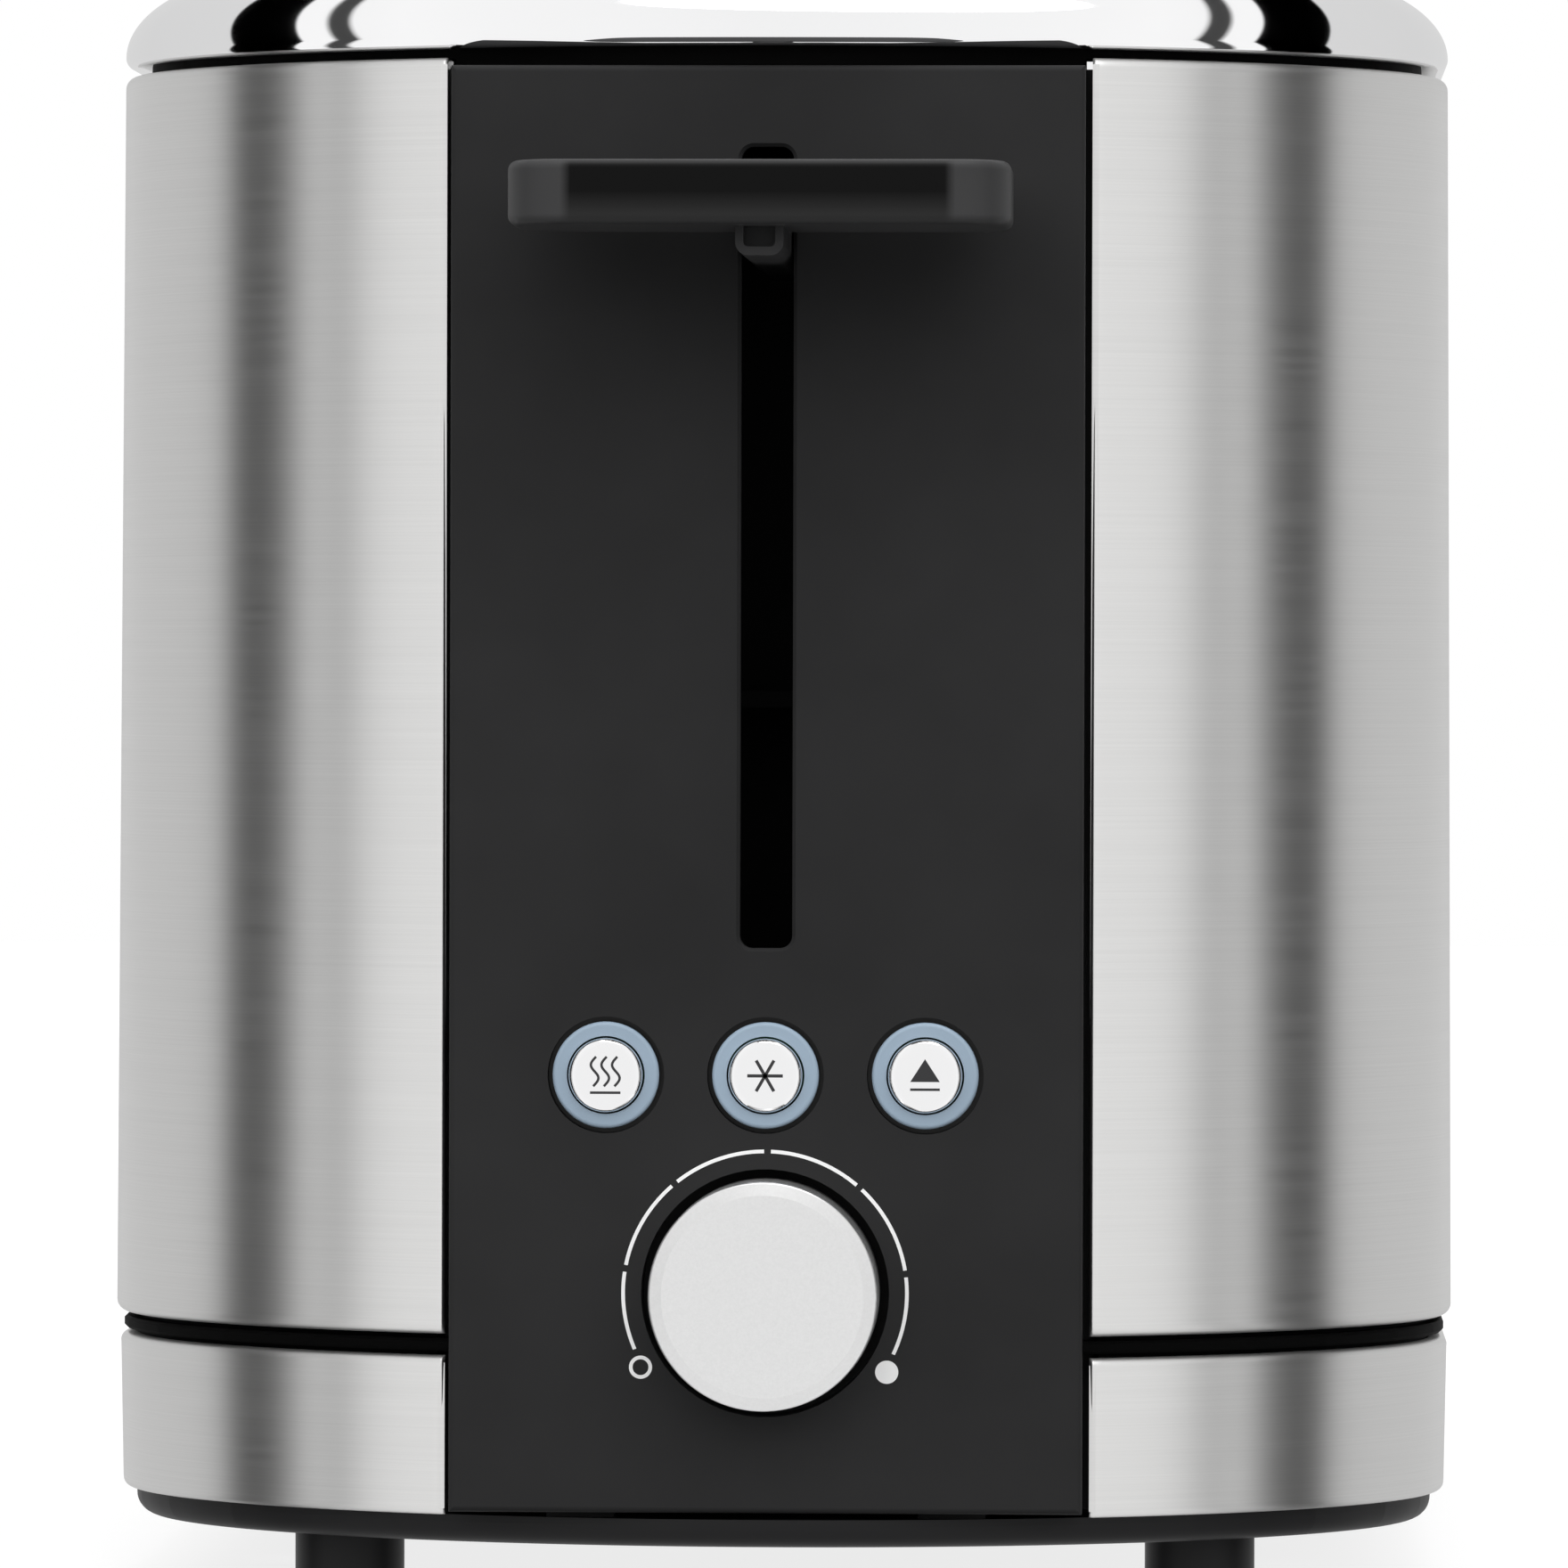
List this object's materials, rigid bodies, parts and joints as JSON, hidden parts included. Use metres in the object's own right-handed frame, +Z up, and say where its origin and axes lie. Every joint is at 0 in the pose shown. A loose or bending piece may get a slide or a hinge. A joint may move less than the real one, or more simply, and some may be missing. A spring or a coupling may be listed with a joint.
{
  "type": "pop up toaster",
  "caption": "Pop-up toaster with a curved brushed steel casing, domed chrome top with bread slots, flat black control panel, push-down lever, lit buttons and browning knob.",
  "frame": {"origin": "on the table under the middle of the whole object's box, lever and tray pull included", "axes": "+Z up, +Y along the bread slots from the control end to the rear, +X to the right seen from the front"},
  "size_m": [0.164, 0.3168, 0.1966],
  "materials": {
    "cover_chrome": "polished chrome",
    "casing_steel": "brushed, lines running round the casing",
    "panel_plastic": "satin black",
    "base_plastic": "satin black",
    "grip_plastic": "fine textured black",
    "button_chrome": "polished",
    "light_ring": "translucent, unlit",
    "knob_silver": "satin silver",
    "rubber": "plain",
    "chassis_steel": "plain bright sheet",
    "dark_steel": "black oxide",
    "guard_wire": "bright wire",
    "mica": "mica sheet",
    "heating_wire": "resistance wire",
    "circuit_board": "green board",
    "switch_plastic": "moulded",
    "coil_copper": "enamelled copper wire"
  },
  "bodies": {
    "housing": {"base_plate": "base_plastic", "foot_posts": "base_plastic", "foot_pads": "rubber", "plinth_ring": "base_plastic", "lower_band": "casing_steel", "upper_casing": "casing_steel", "neck_ring": "base_plastic", "top_cover": "cover_chrome", "control_panel": "panel_plastic", "dial_control": "switch_plastic", "control_board": "circuit_board", "board_screws": "chassis_steel", "button_switches": "switch_plastic", "relay": "switch_plastic", "front_bulkhead": "dark_steel", "rear_bulkhead": "dark_steel", "heat_shield_left": "chassis_steel", "heat_shield_right": "chassis_steel", "guide_rods": "chassis_steel", "latch_core": "chassis_steel", "latch_coil": "coil_copper", "lift_spring": "chassis_steel", "terminal_block": "switch_plastic", "cord_gland": "rubber", "chassis_screws": "chassis_steel", "light_ring_reheat": "light_ring", "light_ring_defrost": "light_ring", "light_ring_cancel": "light_ring", "element_board_left": "mica", "element_board_centre": "mica", "element_board_right": "mica", "element_wire_left": "heating_wire", "element_wire_centre": "heating_wire", "element_wire_right": "heating_wire"},
    "carriage": {"carriage_slider": "dark_steel", "lever_arm": "grip_plastic", "lever_grip": "grip_plastic", "armature_plate": "dark_steel", "bread_rack_left": "chassis_steel", "bread_rack_right": "chassis_steel"},
    "knob": {"browning_knob": "knob_silver", "dial_shaft": "chassis_steel"},
    "tray": {"crumb_tray": "chassis_steel", "crumb_tray_front": "casing_steel"},
    "reheat_button": {"button_reheat": "button_chrome"},
    "defrost_button": {"button_defrost": "button_chrome"},
    "cancel_button": {"button_cancel": "button_chrome"},
    "guard_left_outer": {"bread_guard_left_outer": "guard_wire"},
    "guard_left_inner": {"bread_guard_left_inner": "guard_wire"},
    "guard_right_inner": {"bread_guard_right_inner": "guard_wire"},
    "guard_right_outer": {"bread_guard_right_outer": "guard_wire"}
  },
  "joints": [
    {"name": "lever_slide", "type": "slide", "parent": "housing", "child": "carriage", "axis": [0, 0, 1], "range_m": [-0.0802, 0], "stiffness_N_per_m": 80, "springref_m": 0.06, "deforming": ["lift_spring"]},
    {"name": "knob_turn", "type": "hinge", "parent": "housing", "child": "knob", "pos_m": [0, -0.1284, 0.0376], "axis": [0, 1, 0], "range_deg": [-120, 120]},
    {"name": "tray_slide", "type": "slide", "parent": "housing", "child": "tray", "axis": [0, 1, 0], "range_m": [0, 0.2]},
    {"name": "reheat_press", "type": "slide", "parent": "housing", "child": "reheat_button", "axis": [0, 1, 0], "range_m": [0, 0.0012], "stiffness_N_per_m": 400},
    {"name": "defrost_press", "type": "slide", "parent": "housing", "child": "defrost_button", "axis": [0, 1, 0], "range_m": [0, 0.0012], "stiffness_N_per_m": 400},
    {"name": "cancel_press", "type": "slide", "parent": "housing", "child": "cancel_button", "axis": [0, 1, 0], "range_m": [0, 0.0012], "stiffness_N_per_m": 400},
    {"name": "guard_left_outer_lean", "type": "hinge", "parent": "housing", "child": "guard_left_outer", "pos_m": [-0.044, 0.0174, 0.042], "axis": [0, 1, 0], "range_deg": [0, 3.6]},
    {"name": "guard_left_inner_lean", "type": "hinge", "parent": "housing", "child": "guard_left_inner", "pos_m": [-0.012, 0.0174, 0.042], "axis": [0, 1, 0], "range_deg": [-3.6, 0]},
    {"name": "guard_right_inner_lean", "type": "hinge", "parent": "housing", "child": "guard_right_inner", "pos_m": [0.012, 0.0174, 0.042], "axis": [0, 1, 0], "range_deg": [0, 3.6]},
    {"name": "guard_right_outer_lean", "type": "hinge", "parent": "housing", "child": "guard_right_outer", "pos_m": [0.044, 0.0174, 0.042], "axis": [0, 1, 0], "range_deg": [-3.6, 0]}
  ],
  "couplings": [
    {"joint": "guard_left_outer_lean", "follows": "lever_slide", "rad_per_m": -0.7617},
    {"joint": "guard_left_inner_lean", "follows": "lever_slide", "rad_per_m": 0.7617},
    {"joint": "guard_right_inner_lean", "follows": "lever_slide", "rad_per_m": -0.7617},
    {"joint": "guard_right_outer_lean", "follows": "lever_slide", "rad_per_m": 0.7617}
  ]
}
